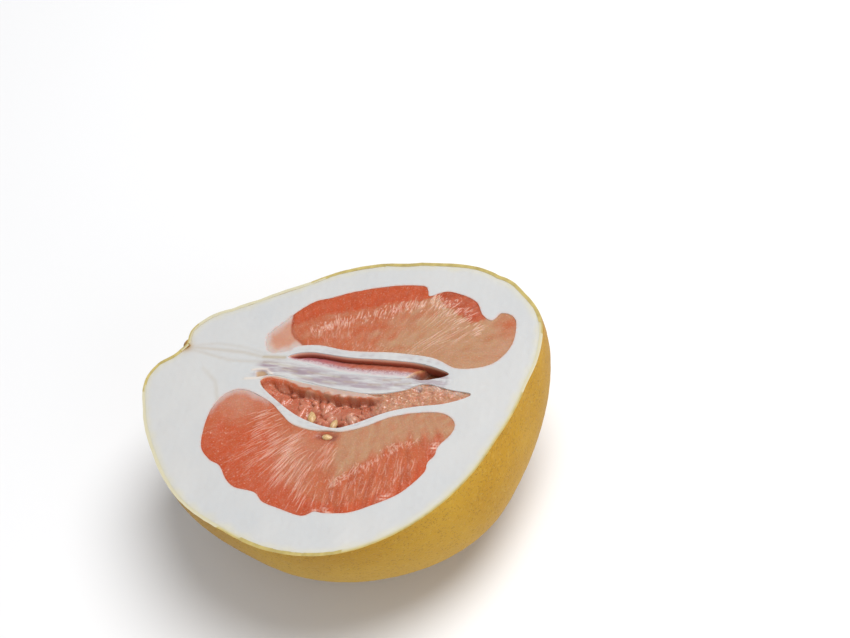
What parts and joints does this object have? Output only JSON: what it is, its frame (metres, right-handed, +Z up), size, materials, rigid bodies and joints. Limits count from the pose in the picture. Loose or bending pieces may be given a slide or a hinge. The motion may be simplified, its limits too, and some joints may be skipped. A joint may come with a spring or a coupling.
{
  "type": "cut pomelo half",
  "caption": "Half of a large pear-shaped citrus fruit cut lengthways, with thick white pith, coral juice-sac segments, an opened segment with seeds and a golden rind.",
  "frame": {"origin": "on the table, under the middle of the fruit's length and width", "axes": "+X from the stem to the blossom end, +Z up, square to the cut face; +Y towards the side with the narrower pulp segment and the cleft"},
  "size_m": [0.1654, 0.1472, 0.0756],
  "materials": {
    "rind": null,
    "pith": null,
    "pulp_upper": null,
    "pulp_lower": null,
    "pulp_cleft": null,
    "pulp_opened": null,
    "seed": null,
    "stem_scar": null
  },
  "bodies": {
    "root": {"rind": "rind", "pith": "pith", "pulp_upper": "pulp_upper", "pulp_lower": "pulp_lower", "pulp_cleft": "pulp_cleft", "pulp_opened": "pulp_opened", "seed_1": "seed", "seed_2": "seed", "seed_3": "seed", "stem_scar": "stem_scar"}
  },
  "joints": []
}
